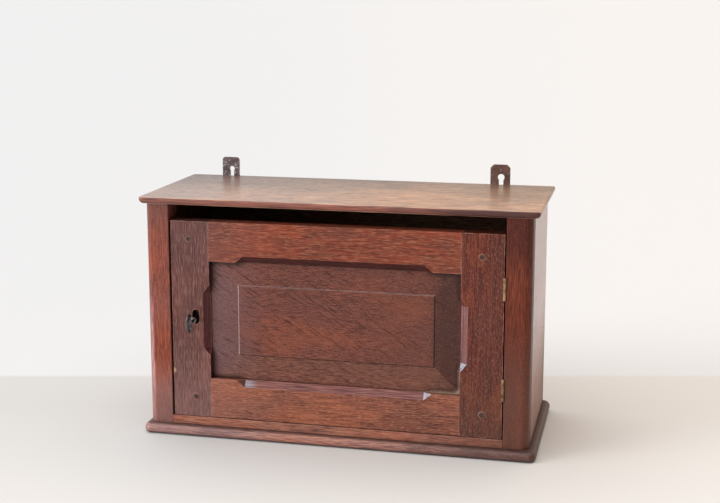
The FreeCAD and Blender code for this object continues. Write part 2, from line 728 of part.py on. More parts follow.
def stopped_chamfer(start, end, outward):
    """Cutter for a chamfer on a front edge of the frame that dies out to a point at each end.

    start and end are the points where the stops vanish, outward points across the face into the wood.
    """
    along = (end - start).normalize()
    inward = Vec(0, 1, 0)
    over = BEYOND
    lead = (over / CHAMFER_FACE + over / CHAMFER_DEPTH) * CHAMFER_STOP
    corner = -outward * over - inward * over
    apex = [start - along * lead + corner, end + along * lead + corner]
    full = [start + along * CHAMFER_STOP, end - along * CHAMFER_STOP]
    face_reach = outward * (CHAMFER_FACE * (1 + over / CHAMFER_DEPTH)) - inward * over
    depth_reach = inward * (CHAMFER_DEPTH * (1 + over / CHAMFER_FACE)) - outward * over
    near = [point + face_reach for point in full]
    deep = [point + depth_reach for point in full]
    outlines = [[near[0], near[1], deep[1], deep[0]]]
    outlines += [[apex[0], near[0], deep[0]], [apex[1], deep[1], near[1]]]
    outlines += [[apex[0], apex[1], near[1], near[0]], [apex[0], deep[0], deep[1], apex[1]]]
    faces = [Part.Face(Part.makePolygon(points + points[:1])) for points in outlines]
    return Part.makeSolid(Part.makeShell(faces))


def stile_tools(side):
    """Cuts that both stiles share: panel groove, mortises, peg holes and the chamfer."""
    sight, into = (SIGHT_LEFT, -1) if side == "lock" else (SIGHT_RIGHT, 1)
    groove_x = sorted((sight - into * BEYOND, sight + into * GROOVE_DEPTH))
    groove_z = (SIGHT_BOTTOM - GROOVE_DEPTH, SIGHT_TOP + GROOVE_DEPTH)
    tools = [block(groove_x, (GROOVE_FRONT, GROOVE_BACK), groove_z)]
    tools += [tenon(side, end, JOINT_CLEARANCE) for end in ("top", "bottom")]
    low = Vec(sight, DOOR_FACE, SIGHT_BOTTOM + CHAMFER_INSET_STILE)
    high = Vec(sight, DOOR_FACE, SIGHT_TOP - CHAMFER_INSET_STILE)
    tools.append(stopped_chamfer(low, high, Vec(into, 0, 0)))
    return tools + pegs(PEG_FIT)


def lock_stile():
    """The back is let out in steps for the lock, and the keyhole goes through to the face."""
    blank = block((DOOR_LEFT, SIGHT_LEFT), (DOOR_FACE, DOOR_BACK), (DOOR_BOTTOM, DOOR_TOP))
    return blank.cut(stile_tools("lock") + lock_recess() + [keyhole()] + lock_screw_holes())


def hinge_stile():
    """The edge is let out for the hinge leaves, with a relief round each knuckle."""
    blank = block((SIGHT_RIGHT, DOOR_RIGHT), (DOOR_FACE, DOOR_BACK), (DOOR_BOTTOM, DOOR_TOP))
    tools = stile_tools("hinge") + hinge_screw_holes(-1)
    leaf_x = (HINGE_X - LEAF_GAP / 2 - LEAF_THICKNESS, DOOR_RIGHT + BEYOND)
    leaf_y = (DOOR_FACE - BEYOND, HINGE_Y + LEAF_WIDTH)
    for middle in HINGE_MIDDLES.values():
        low, high = hinge_heights(middle)
        tools += [block(leaf_x, leaf_y, (low, high)), knuckle_relief(low, high)]
    return blank.cut(tools)


def rail(end):
    """Rail with its two tenons, grooved and chamfered along the edge next to the panel."""
    if end == "top":
        heights, sight, into = (SIGHT_TOP, DOOR_TOP), SIGHT_TOP, 1
    else:
        heights, sight, into = (DOOR_BOTTOM, SIGHT_BOTTOM), SIGHT_BOTTOM, -1
    body = block((SIGHT_LEFT, SIGHT_RIGHT), (DOOR_FACE, DOOR_BACK), heights)
    body = body.fuse([tenon(side, end) for side in ("lock", "hinge")]).removeSplitter()
    groove_z = sorted((sight - into * BEYOND, sight + into * GROOVE_DEPTH))
    groove = block((SIGHT_LEFT, SIGHT_RIGHT), (GROOVE_FRONT, GROOVE_BACK), groove_z)
    left = Vec(SIGHT_LEFT + CHAMFER_INSET_RAIL, DOOR_FACE, sight)
    right = Vec(SIGHT_RIGHT - CHAMFER_INSET_RAIL, DOOR_FACE, sight)
    return body.cut([groove, stopped_chamfer(left, right, Vec(0, 0, into))] + pegs(PEG_FIT))


def rectangle(x, z, y):
    points = [Vec(x[0], y, z[0]), Vec(x[1], y, z[0]), Vec(x[1], y, z[1]), Vec(x[0], y, z[1])]
    return Part.makePolygon(points + points[:1])


def door_panel():
    """Raised and fielded panel: tongue all round, bevelled margins and a field on a small step."""
    into = GROOVE_DEPTH - END_CLEARANCE
    front = GROOVE_FRONT + JOINT_CLEARANCE
    back = GROOVE_BACK - JOINT_CLEARANCE
    tongue_x = (SIGHT_LEFT - into, SIGHT_RIGHT + into)
    tongue_z = (SIGHT_BOTTOM - into, SIGHT_TOP + into)
    tongue = block(tongue_x, (front, back), tongue_z)
    field_x = (SIGHT_LEFT + FIELD_MARGIN_LOCK, SIGHT_RIGHT - FIELD_MARGIN_HINGE)
    field_z = (SIGHT_BOTTOM + FIELD_MARGIN_BOTTOM, SIGHT_TOP - FIELD_MARGIN_TOP)
    inner_x = (field_x[0] + FIELD_SLOPE, field_x[1] - FIELD_SLOPE)
    inner_z = (field_z[0] + FIELD_SLOPE, field_z[1] - FIELD_SLOPE)
    sight = rectangle((SIGHT_LEFT, SIGHT_RIGHT), (SIGHT_BOTTOM, SIGHT_TOP), front)
    shoulder = rectangle(field_x, field_z, front - BEVEL_RISE)
    crown = rectangle(inner_x, inner_z, front - BEVEL_RISE - FIELD_STEP)
    bevels = Part.makeLoft([sight, shoulder], True, True)
    field = Part.makeLoft([shoulder, crown], True, True)
    return tongue.fuse([bevels, field]).removeSplitter()


# Lock

def lock_heights():
    return KEY_Z - LOCK_PLATE_BELOW, KEY_Z + LOCK_PLATE_ABOVE


def lock_screw_feet():
    feet = []
    low, high = lock_heights()
    for x in (LOCK_CAP_LEFT + LOCK_SCREW_INSET, LOCK_RIGHT - LOCK_SCREW_INSET):
        for z in (low + LOCK_SCREW_INSET, high - LOCK_SCREW_INSET):
            feet.append(Vec(x, DOOR_BACK, z))
    return feet


def lock_screw_holes():
    return [screw_blank(LOCK_SCREW, foot, Vec(0, -1, 0), FASTENER_FIT) for foot in lock_screw_feet()]


def lock_screws():
    return [screw(LOCK_SCREW, foot, Vec(0, -1, 0), Vec(1, 0, 0)) for foot in lock_screw_feet()]


def lock_recess():
    """Stepped recess in the stile: plate and edge strip, cap flanges, then the cap itself."""
    low, high = lock_heights()
    cap_low, cap_high = KEY_Z - LOCK_CAP_BELOW, KEY_Z + LOCK_CAP_ABOVE
    flange_front = LOCK_PLATE_FRONT - LOCK_CAP_SHEET
    outside = DOOR_LEFT - BEYOND
    behind = DOOR_BACK + BEYOND
    strip_front = DOOR_BACK - LOCK_EDGE_STRIP_DEPTH
    plate = block((outside, LOCK_RIGHT), (LOCK_PLATE_FRONT, behind), (low, high))
    strip = block((outside, LOCK_CAP_LEFT), (strip_front, behind), (low, high))
    flange_z = (cap_low - LOCK_FLANGE, cap_high + LOCK_FLANGE)
    flanges = block((outside, LOCK_CAP_RIGHT), (flange_front, behind), flange_z)
    cap = block((outside, LOCK_CAP_RIGHT), (LOCK_CAP_FRONT, behind), (cap_low, cap_high))
    return [plate, strip, flanges, cap]


def keyhole():
    """Worn upright hole with round ends through the stile's face."""
    radius = KEYHOLE_WIDTH / 2
    low, high = KEY_Z - KEYHOLE_BELOW + radius, KEY_Z + KEYHOLE_ABOVE - radius
    start = DOOR_FACE - BEYOND
    depth = LOCK_PLATE_FRONT - start
    ends = [rod(Vec(KEY_X, start, z), Vec(0, 1, 0), radius, depth) for z in (low, high)]
    middle = block((KEY_X - radius, KEY_X + radius), (start, start + depth), (low, high))
    return middle.fuse(ends)


def rivet_feet():
    feet = []
    for x in (LOCK_CAP_LEFT + RIVET_INSET, LOCK_CAP_RIGHT - RIVET_INSET):
        for z in (KEY_Z - LOCK_CAP_BELOW - LOCK_FLANGE / 2, KEY_Z + LOCK_CAP_ABOVE + LOCK_FLANGE / 2):
            feet.append(Vec(x, DOOR_BACK, z))
    return feet


def rivets(swell=0.0):
    """Rivets that join the cap's flanges to the plate, filed flush."""
    length = LOCK_PLATE_THICKNESS + LOCK_CAP_SHEET
    return [rod(foot, Vec(0, -1, 0), RIVET_R + swell, length) for foot in rivet_feet()]


def lock_plate():
    """Bent plate: the broad leaf lies in the back of the stile, the narrow one in its edge."""
    strip_front = DOOR_BACK - LOCK_EDGE_STRIP_DEPTH
    low, high = lock_heights()
    outline = [(DOOR_LEFT, strip_front), (LOCK_CAP_LEFT, strip_front), (LOCK_CAP_LEFT, LOCK_PLATE_FRONT)]
    outline += [(LOCK_RIGHT, LOCK_PLATE_FRONT), (LOCK_RIGHT, DOOR_BACK), (DOOR_LEFT, DOOR_BACK)]
    gap = BOLT_CLEARANCE
    window = block(
        (DOOR_LEFT - BEYOND, LOCK_CAP_LEFT + BEYOND),
        (BOLT_FRONT - gap, LOCK_PLATE_FRONT),
        (BOLT_LOW - gap, BOLT_HIGH + gap),
    )
    pivot_start = Vec(KEY_X, LOCK_PLATE_FRONT - BEYOND, KEY_Z)
    pivot = rod(pivot_start, Vec(0, 1, 0), KEY_SHANK_R + KEY_PIVOT_FIT, LOCK_PLATE_THICKNESS + 2 * BEYOND)
    return plan(outline, (low, high)).cut([window, pivot] + rivets(FASTENER_FIT) + lock_screw_holes())


def lock_cap():
    """Hat-shaped cover with riveted flanges, closed at the far end, with the lock's own keyhole."""
    sheet = LOCK_CAP_SHEET
    low, high = KEY_Z - LOCK_CAP_BELOW, KEY_Z + LOCK_CAP_ABOVE
    seat = LOCK_PLATE_FRONT
    flange = seat - sheet
    inner = LOCK_CAP_FRONT + sheet
    hat = [(seat, low - LOCK_FLANGE), (flange, low - LOCK_FLANGE), (flange, low)]
    hat += [(LOCK_CAP_FRONT, low), (LOCK_CAP_FRONT, high)]
    hat += [(flange, high), (flange, high + LOCK_FLANGE), (seat, high + LOCK_FLANGE)]
    hat += [(seat, high - sheet), (inner, high - sheet), (inner, low + sheet), (seat, low + sheet)]
    section = [Vec(LOCK_CAP_LEFT, y, z) for y, z in hat]
    cover = prism(section, Vec(LOCK_CAP_RIGHT - LOCK_CAP_LEFT, 0, 0))
    end_wall = block((LOCK_CAP_RIGHT - sheet, LOCK_CAP_RIGHT), (LOCK_CAP_FRONT, seat), (low, high))
    reach = (LOCK_CAP_FRONT - BEYOND, inner + sheet)
    eye_r = KEY_SHANK_R + KEY_WARD_CLEARANCE
    slot_x = BIT_WIDTH / 2 + KEY_WARD_CLEARANCE
    slot_low = KEY_Z - BIT_REACH - KEY_WARD_CLEARANCE
    hole = rod(Vec(KEY_X, reach[0], KEY_Z), Vec(0, 1, 0), eye_r, reach[1] - reach[0])
    slot = block((KEY_X - slot_x, KEY_X + slot_x), reach, (slot_low, KEY_Z))
    return cover.fuse(end_wall).removeSplitter().cut([hole, slot] + rivets(FASTENER_FIT))


def lock_bolt():
    """Flat bolt; the talon in its lower edge is where the key's bit passes."""
    left, right = DOOR_LEFT, KEY_X + BOLT_TAIL
    notch = (KEY_X - TALON_LEFT, KEY_X + TALON_RIGHT)
    roof = BOLT_LOW + TALON_HEIGHT
    outline = [(left, BOLT_LOW), (notch[0], BOLT_LOW), (notch[0], roof)]
    outline += [(notch[1], roof), (notch[1], BOLT_LOW)]
    outline += [(right, BOLT_LOW), (right, BOLT_HIGH), (left, BOLT_HIGH)]
    return prism([Vec(x, BOLT_FRONT, z) for x, z in outline], Vec(0, BOLT_THICKNESS, 0))


def lock_spring():
    """Leaf spring on the bolt: a flat foot, then a bowed blade that presses up."""
    start = LOCK_CAP_LEFT + BOLT_TRAVEL + BOLT_CLEARANCE
    knee = start + SPRING_FOOT
    tip = start + SPRING_LENGTH
    crest = (knee + tip) / 2
    lift = BOLT_HIGH + SPRING_RISE
    y = BOLT_FRONT + (BOLT_THICKNESS - SPRING_WIDTH) / 2
    upper = Vec(0, 0, SPRING_SHEET)
    foot_end = Vec(knee, y, BOLT_HIGH)
    far_end = Vec(tip, y, BOLT_HIGH + SPRING_RISE / 2)
    top_mid = Vec(crest, y, lift)
    toe = Vec(start, y, BOLT_HIGH)
    edges = [Part.makeLine(toe, foot_end), Part.Arc(foot_end, top_mid, far_end).toShape()]
    edges.append(Part.makeLine(far_end, far_end + upper))
    edges.append(Part.Arc(far_end + upper, top_mid + upper, foot_end + upper).toShape())
    edges.append(Part.makeLine(foot_end + upper, toe + upper))
    edges.append(Part.makeLine(toe + upper, toe))
    return Part.Face(Part.Wire(edges)).extrude(Vec(0, SPRING_WIDTH, 0))


# Key

def key_bow():
    """Oval bow with chamfered edges, standing in the plane of the shank."""
    centre = Vec(KEY_X - BOW_THICKNESS / 2, DOOR_FACE - KEY_STANDOFF, KEY_Z)
    rings = []
    for rim in (0.0, BOW_RIM):
        tall = centre + Vec(0, 0, BOW_HALF_HEIGHT - rim)
        deep = centre + Vec(0, BOW_HALF_DEPTH - rim, 0)
        rings.append(Part.Wire(Part.Ellipse(tall, deep, centre).toShape()))
    travel = Vec(BOW_THICKNESS, 0, 0)
    plate = Part.Face(rings[0]).extrude(travel)
    plate = plate.makeChamfer(BOW_CHAMFER, [edge for edge in plate.Edges if edge.BoundBox.XLength < NEAR])
    return plate.cut(Part.Face(rings[1]).extrude(travel))


def key_shank():
    """Turned shank with a collar in front of the door face and a pivot end in the lock plate."""
    near = DOOR_FACE - KEY_STANDOFF + BOW_HALF_DEPTH - BOW_RIM / 2
    collar = DOOR_FACE - COLLAR_STANDOFF - near
    length = DOOR_BACK + KEY_PIVOT_PROUD - near
    half = COLLAR_LENGTH / 2
    outline = [(0, 0), (KEY_SHANK_R, 0), (KEY_SHANK_R, collar - half)]
    outline += [(COLLAR_R, collar - half / 2), (COLLAR_R, collar + half / 2)]
    outline += [(KEY_SHANK_R, collar + half), (KEY_SHANK_R, length), (0, length)]
    return turned(outline, Vec(KEY_X, near, KEY_Z), Vec(0, 1, 0))


def key_bit():
    """Bit below the shank, stepped at its foot."""
    front = LOCK_CAP_FRONT + LOCK_CAP_SHEET + BIT_CLEARANCE
    back = LOCK_PLATE_FRONT - BIT_CLEARANCE
    low = KEY_Z - BIT_REACH
    middle = (front + back) / 2
    outline = [(front, KEY_Z), (front, low), (middle, low), (middle, low + BIT_NOTCH)]
    outline += [(back, low + BIT_NOTCH), (back, KEY_Z)]
    return prism([Vec(KEY_X - BIT_WIDTH / 2, y, z) for y, z in outline], Vec(BIT_WIDTH, 0, 0))


def key():
    return key_shank().fuse([key_bow(), key_bit()]).removeSplitter()


def nodes():
    """Every piece of the cabinet by its node name."""
    pieces = {
        "top_board": top_board(),
        "plinth_board": plinth_board(),
        "bottom_board": bottom_board(),
        "left_post": left_post(),
        "right_post": right_post(),
        "left_side_panel": left_side_panel(),
        "right_side_panel": right_side_panel(),
        "door_stop": door_stop(),
        "top_dowels": Part.makeCompound(dowels()),
        "plinth_screws": Part.makeCompound(plinth_screws()),
        "back_nails": Part.makeCompound(nails()),
        "left_hanger": left_hanger(),
        "right_hanger": right_hanger(),
        "hanger_screws": Part.makeCompound(hanger_screws()),
        "hinge_post_screws": Part.makeCompound(hinge_screws(1)),
        "hinge_door_screws": Part.makeCompound(hinge_screws(-1)),
        "lock_stile": lock_stile(),
        "hinge_stile": hinge_stile(),
        "top_rail": rail("top"),
        "bottom_rail": rail("bottom"),
        "door_panel": door_panel(),
        "tenon_pegs": Part.makeCompound(pegs()),
        "lock_plate": lock_plate(),
        "lock_cap": lock_cap(),
        "lock_cap_rivets": Part.makeCompound(rivets()),
        "lock_screws": Part.makeCompound(lock_screws()),
        "lock_bolt": lock_bolt(),
        "lock_spring": lock_spring(),
        "key": key(),
    }
    for index in range(BACK_BOARD_COUNT):
        pieces["back_board_%d" % (index + 1)] = back_board(index)
    for place, middle in HINGE_MIDDLES.items():
        pieces[place + "_hinge_post_leaf"] = hinge_leaf(1, middle)
        pieces[place + "_hinge_door_leaf"] = hinge_leaf(-1, middle)
        pieces[place + "_hinge_pin"] = hinge_pin(middle)
    return pieces


os.makedirs("parts", exist_ok=True)
for name, shape in nodes().items():
    shape.exportStep("parts/%s.step" % name)
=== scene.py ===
"""Looks of the small oak wall cabinet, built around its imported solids. Lengths are in metres."""
import math
from collections import namedtuple

import bpy
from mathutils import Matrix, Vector


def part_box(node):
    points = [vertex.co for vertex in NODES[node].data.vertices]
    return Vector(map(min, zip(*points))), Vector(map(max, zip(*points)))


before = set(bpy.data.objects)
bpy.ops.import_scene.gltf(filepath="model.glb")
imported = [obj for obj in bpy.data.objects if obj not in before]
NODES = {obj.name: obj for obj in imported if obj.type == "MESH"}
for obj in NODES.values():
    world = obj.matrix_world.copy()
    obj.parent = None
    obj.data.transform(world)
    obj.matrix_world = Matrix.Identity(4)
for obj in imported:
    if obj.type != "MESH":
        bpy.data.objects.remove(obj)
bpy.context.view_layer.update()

# Camera, with its angles in degrees and its lens and sensor in millimetres
CAMERA_PLACE = (0.3910, -1.6438, 0.5851)
CAMERA_YAW = 12.985
CAMERA_PITCH = 10.142
CAMERA_LENS = 64.757
SENSOR_WIDTH = 36.0
CAMERA_SHIFT = -0.05

# Stage: a floor around the point under the camera, paler beyond a line across the view. Its colour holds
# painted light: paler near the camera, cooler on the left and warmer on the right
FLOOR_HALF = 90.0
FLOOR_DROP = 0.0003
FLOOR_CHANGE = 1.89
FLOOR_SOFT = 0.006
FLOOR_FRONT = (0.79, 0.77, 0.75)
FLOOR_FRONT_REACH = (1.30, 1.75)
FLOOR_NEAR_LEFT = (0.62, 0.625, 0.62)
FLOOR_NEAR_RIGHT = (0.74, 0.70, 0.66)
FLOOR_FAR_LEFT = (0.715, 0.73, 0.75)
FLOOR_FAR_RIGHT = (0.77, 0.76, 0.76)
FLOOR_WARM_LIGHT_SLOPES = (-0.12, 0.20)
FLOOR_ROUGH = 0.75
FLOOR_SPECULAR = 0.2

# Light: the ways that it comes from, its angles in degrees, and how the sky changes from side to side
WINDOW_WAY = (-0.82, -0.50, 0.20)
WINDOW_ANGLE = 32.0
WINDOW_POWER = 1.9
WINDOW_COLOUR = (0.93, 0.96, 1.0)
LAMP_WAY = (-0.15, -0.2, 0.95)
LAMP_ANGLE = 100.0
LAMP_POWER = 2.35
LAMP_COLOUR = (1.0, 0.97, 0.93)
SKY_LEFT = (0.80, 0.84, 0.90)
SKY_RIGHT = (0.10, 0.09, 0.085)
SKY_BACK_LEFT = (1.02, 1.09, 1.16)
SKY_BACK_RIGHT = (1.24, 1.02, 0.82)
SKY_LEFT_SPAN = (0.55, -0.75)
SKY_BACK_SPAN = (0.0, 0.55)
SKY_BACK_RIGHT_SPAN = (-0.40, -0.05)
SKY_STRENGTH = 0.62

# Ways that a surface may face or a stain may run
LEFT, RIGHT, FRONT, BACK = (-1, 0, 0), (1, 0, 0), (0, -1, 0), (0, 1, 0)
UP, DOWN = (0, 0, 1), (0, 0, -1)

# Facings of the left post's rounding, of the lower chamfer and of the chamfers' stops, on which painted
# highlights, sheen and shade are laid
LEFT_POST_HIGHLIGHT_WAY = (-0.46, -0.888, 0)
LOW_RAIL_CHAMFER = (0, -0.818, 0.576)
LOW_RAIL_LEFT_STOP = (0.434, -0.736, 0.518)
LOW_RAIL_RIGHT_STOP = (-0.434, -0.736, 0.518)
HINGE_STILE_LOW_STOP = (-0.518, -0.736, 0.434)
HINGE_STILE_HIGH_STOP = (-0.518, -0.736, -0.434)

# How squarely a surface faces a way: the cosines where a shade begins and where it is full
ON_NOSE_TOP = (0.10, 0.25)
ON_NOSE = (0.45, 0.70)
ON_NOSE_AND_BELOW = (0.3, 0.6)
ON_BOARD_FACE = (0.8, 0.95)
ON_PLINTH_TOP = (0.75, 0.92)
ON_PLINTH_END = (0.5, 0.8)
ON_POST_FRONT = (0.3, 0.8)
ON_POST_HIGHLIGHT = (0.955, 0.99)
ON_FRAME_CHAMFER = (0.3, 0.5)
ON_FACET = (0.92, 0.96)
ON_PANEL_MARGIN = (0.04, 0.09)
ON_FIELD_STEP = (0.4, 0.6)
ON_PEG_END = (0.9, 0.98)

# Edges and hollows, and the rounding of arrises sharper than an angle in degrees
EDGE_SAMPLES = 6
ARRIS_SPAN = (0.99, 0.88)
EASE_WIDTH = 0.0005
EASE_ANGLE = 22
EASE_SEGMENTS = 2
WELD_DISTANCE = 1e-6
NORMAL_WEIGHT = 60

# Sockets of a Mix node that mixes colours: factor, first and second colour, and the result
COLOUR_MIX_INPUTS = (0, 6, 7)
COLOUR_MIX_OUTPUT = 2

# A noise: the length of its cells along x, y and z, its detail and its roughness
Pattern = namedtuple("Pattern", "cells detail roughness")

# Colours laid on one piece. A fade comes in along a way, a side lies on what faces a way, a patch lies
# around a place on what faces a way, and a corner is dust in the seams around a place. Much of what a
# side lays, and some fades and patches, is painted light and shade: highlights and sheen on what faces
# the window, painted shade on what faces away from it. The rest are tones of the wood. A place, and the
# span of a fade, are in shares of the piece's box. A shade is a display colour from 0 to 255.
Fade = namedtuple("Fade", "way span shade share rough", defaults=(0.0,))
Side = namedtuple("Side", "way span shade share")
Patch = namedtuple("Patch", "place radius way span shade")
Corner = namedtuple("Corner", "place radius shade")


def srgb(red, green, blue):
    """Linear colour of a display colour given from 0 to 255."""
    def line(value):
        v = value / 255
        return v / 12.92 if v <= 0.04045 else ((v + 0.055) / 1.055) ** 2.4
    return (line(red), line(green), line(blue), 1.0)


def tinted(colour, shares):
    return (*(c * share for c, share in zip(colour, shares)), 1.0)


class Graph:
    """A node tree with short ways to add and join its nodes."""

    def __init__(self, tree):
        self.tree = tree
        tree.nodes.clear()

    def add(self, kind, inputs=None, **settings):
        node = self.tree.nodes.new(kind)
        for key, value in settings.items():
            setattr(node, key, value)
        for key, value in (inputs or {}).items():
            self.put(node.inputs[key], value)
        return node

    def put(self, socket, value):
        if isinstance(value, bpy.types.NodeSocket):
            self.tree.links.new(value, socket)
        else:
            socket.default_value = value

    def maths(self, operation, a, b=0.0, c=0.0):
        node = self.add("ShaderNodeMath", operation=operation)
        for socket, value in zip(node.inputs, (a, b, c)):
            self.put(socket, value)
        return node.outputs[0]

    def times(self, a, b):
        return self.maths("MULTIPLY", a, b)

    def vector(self, operation, a, b=(0.0, 0.0, 0.0)):
        node = self.add("ShaderNodeVectorMath", {0: a, 1: b}, operation=operation)
        return node.outputs["Value" if operation in ("DOT_PRODUCT", "DISTANCE") else "Vector"]

    def span(self, value, low, high, to_low=0.0, to_high=1.0):
        node = self.add("ShaderNodeMapRange", {
            "Value": value, "From Min": low, "From Max": high, "To Min": to_low, "To Max": to_high})
        return node.outputs["Result"]

    def towards(self, vector, way, span):
        """Grows from 0 to 1 as the vector's part along a way crosses the span."""
        return self.span(self.vector("DOT_PRODUCT", vector, way), *span)

    def mix(self, factor, a, b):
        node = self.add("ShaderNodeMix", data_type="RGBA")
        for number, value in zip(COLOUR_MIX_INPUTS, (factor, a, b)):
            self.put(node.inputs[number], value)
        return node.outputs[COLOUR_MIX_OUTPUT]

    def plain_mix(self, factor, a, b):
        """A mix of two linear colours of three numbers."""
        return self.mix(factor, (*a, 1.0), (*b, 1.0))

    def ramp(self, factor, stops):
        node = self.add("ShaderNodeValToRGB", {"Fac": factor})
        line = node.color_ramp.elements
        while len(line) < len(stops):
            line.new(1.0)
        for element, (place, colour) in zip(line, stops):
            element.position = place
            element.color = colour
        return node.outputs["Color"]

    def noise(self, vector, pattern):
        scaled = self.vector("MULTIPLY", vector, tuple(1.0 / c for c in pattern.cells))
        node = self.add("ShaderNodeTexNoise", {
            "Vector": scaled, "Scale": 1.0, "Detail": pattern.detail, "Roughness": pattern.roughness})
        return node.outputs["Fac"]

    def swayed(self, vector, scale, detail, amounts):
        """The vector, pushed to and fro by a slow noise."""
        push = self.add("ShaderNodeTexNoise", {"Vector": vector, "Scale": scale, "Detail": detail})
        centred = self.vector("SUBTRACT", push.outputs["Color"], (0.5, 0.5, 0.5))
        return self.vector("ADD", vector, self.vector("MULTIPLY", centred, amounts))

    def turn(self, vector, rotation, location=(0.0, 0.0, 0.0)):
        node = self.add("ShaderNodeMapping", {
            "Vector": vector, "Rotation": rotation, "Location": location})
        return node.outputs["Vector"]

    def arris(self, radius):
        """1 close to a convex edge or a hollow corner, 0 on the flat."""
        form = self.add("ShaderNodeNewGeometry")
        rounded = self.add("ShaderNodeBevel", {"Radius": radius}, samples=EDGE_SAMPLES)
        square = self.vector("DOT_PRODUCT", rounded.outputs["Normal"], form.outputs["True Normal"])
        return self.span(square, *ARRIS_SPAN)

    def bump(self, strength, depth, height):
        node = self.add("ShaderNodeBump", {"Strength": strength, "Distance": depth, "Height": height})
        return node.outputs["Normal"]

    def surface(self, inputs):
        shader = self.add("ShaderNodeBsdfPrincipled", inputs)
        self.add("ShaderNodeOutputMaterial", {"Surface": shader.outputs["BSDF"]})


def material(name):
    made = bpy.data.materials.new(name)
    made.use_nodes = True
    return made, Graph(made.node_tree)


# Oak: turns that bring the grain of a board along texture x, and the grain's own way
GRAIN_TURN = {
    "X": (0.0, 0.0, 0.0),
    "Y": (0.0, 0.0, math.radians(-90)),
    "Z": (0.0, math.radians(90), 0.0),
}
GRAIN_WAY = {"X": (1.0, 0.0, 0.0), "Y": (0.0, 1.0, 0.0), "Z": (0.0, 0.0, 1.0)}

# Oak: patterns, with the noise values where what they draw begins and where it is full
MEDIUM_FIBRES = Pattern((0.045, 0.0032, 0.0032), 2.0, 0.5)
BROAD_FIBRES = Pattern((0.26, 0.015, 0.015), 2.0, 0.5)
CLOUDS = Pattern((0.11, 0.045, 0.045), 3.0, 0.55)
SWELLS = Pattern((0.09, 0.022, 0.022), 2.0, 0.5)
TICKS = Pattern((0.012, 0.012, 0.012), 3.0, 0.7)
RAYS = Pattern((0.030, 0.05, 0.0014), 1.0, 0.5)
RAY_GROUPS = Pattern((0.045, 0.03, 0.03), 2.0, 0.55)
FIBRE_DETAIL = 1.0
FIBRE_ROUGHNESS = 0.5
PORE_LENGTH = 0.013
TINT_SPAN = (0.48, 0.66)
GLOW_SPAN = (0.50, 0.36)
PORE_SPAN = (0.58, 0.68)
SCUFF_SPAN = (0.53, 0.66)
TICK_SPAN = (0.40, 0.60)
RAY_SPAN = (0.61, 0.68)
RAY_GROUP_SPAN = (0.40, 0.52)

# Oak: the grain's wandering, the shares of its fibres, and its end
GRAIN_STEP = (1.37, 0.71, 2.13)
WANDER_SCALE, WANDER_DETAIL = 7.0, 2.0
RAY_BEND_SCALE, RAY_BEND_DETAIL = 14.0, 1.0
RAY_BEND = (0.008, 0.008, 0.008)
MEDIUM_SHARE = 0.03
BROAD_SHARE = 0.05
STREAK_MIDDLE = 0.5
STREAK_REACH = 0.11
END_GRAIN_SPAN = (0.7, 0.95)
END_GRAIN_SHARE = 0.55

# Oak: rubbed edges, hollows darkened with painted shade and grime, and the share of a patch's radius
# within which it is full
RUBBED_RADIUS = 0.0016
HOLLOW_REACH = 0.009
SEAM_SPAN = (0.66, 0.52)
PATCH_CORE = 0.3

# Oak: relief and roughness that its patterns add
RELIEF_DEPTH = 0.0006
STREAK_RELIEF, SWELL_RELIEF, PORE_RELIEF = 0.6, 0.9, 0.4
PORE_ROUGH, CLOUD_ROUGH, SIDE_ROUGH = 0.15, 0.12, 0.35

# Oak: shares of a shade in red, green and blue
DEEP_SHARE = (0.50, 0.47, 0.55)
PALE_SHARE = (1.38, 1.55, 1.60)
PORE_SHARE = (0.25, 0.22, 0.25)
FLECK_SHARE = (0.36, 0.26, 0.29)
# painted shade with some grime, laid in hollows and gaps
HOLLOW_SHADE_AND_GRIME_SHARE = (0.09, 0.07, 0.08)
END_SHARE = (0.40, 0.40, 0.42)

# Oak: the look of a piece that says nothing else, with display colours from 0 to 255
OAK_LOOK = {
    "mid": (124, 66, 50),
    "tint": (84, 50, 44),
    "tint_share": 0.45,
    "glow": (168, 84, 46),
    "glow_share": 0.3,
    "contrast": 1.0,
    "sway": 0.004,
    "fibre": 0.017,
    "thread": (0.0007, 0.0007),
    "pore_share": 0.22,
    "dust": (196, 168, 160),
    "dust_share": 0.12,
    "dust_length": 0.004,
    "wear": (206, 160, 140),
    "wear_share": 0.7,
    "hollow_shade_and_grime_share": 0.9,
    "hollow_shade_and_grime_span": (0.75, 0.25),
    "rough": 0.45,
    "coat": 0.3,
    "coat_rough": 0.15,
    "specular": 0.12,
    "fleck_share": 0.0,
    "fleck_turn": 0.0,
    "fades": (),
    "sides": (),
    "patches": (),
    "corners": (),
    "bump": 0.4,
}


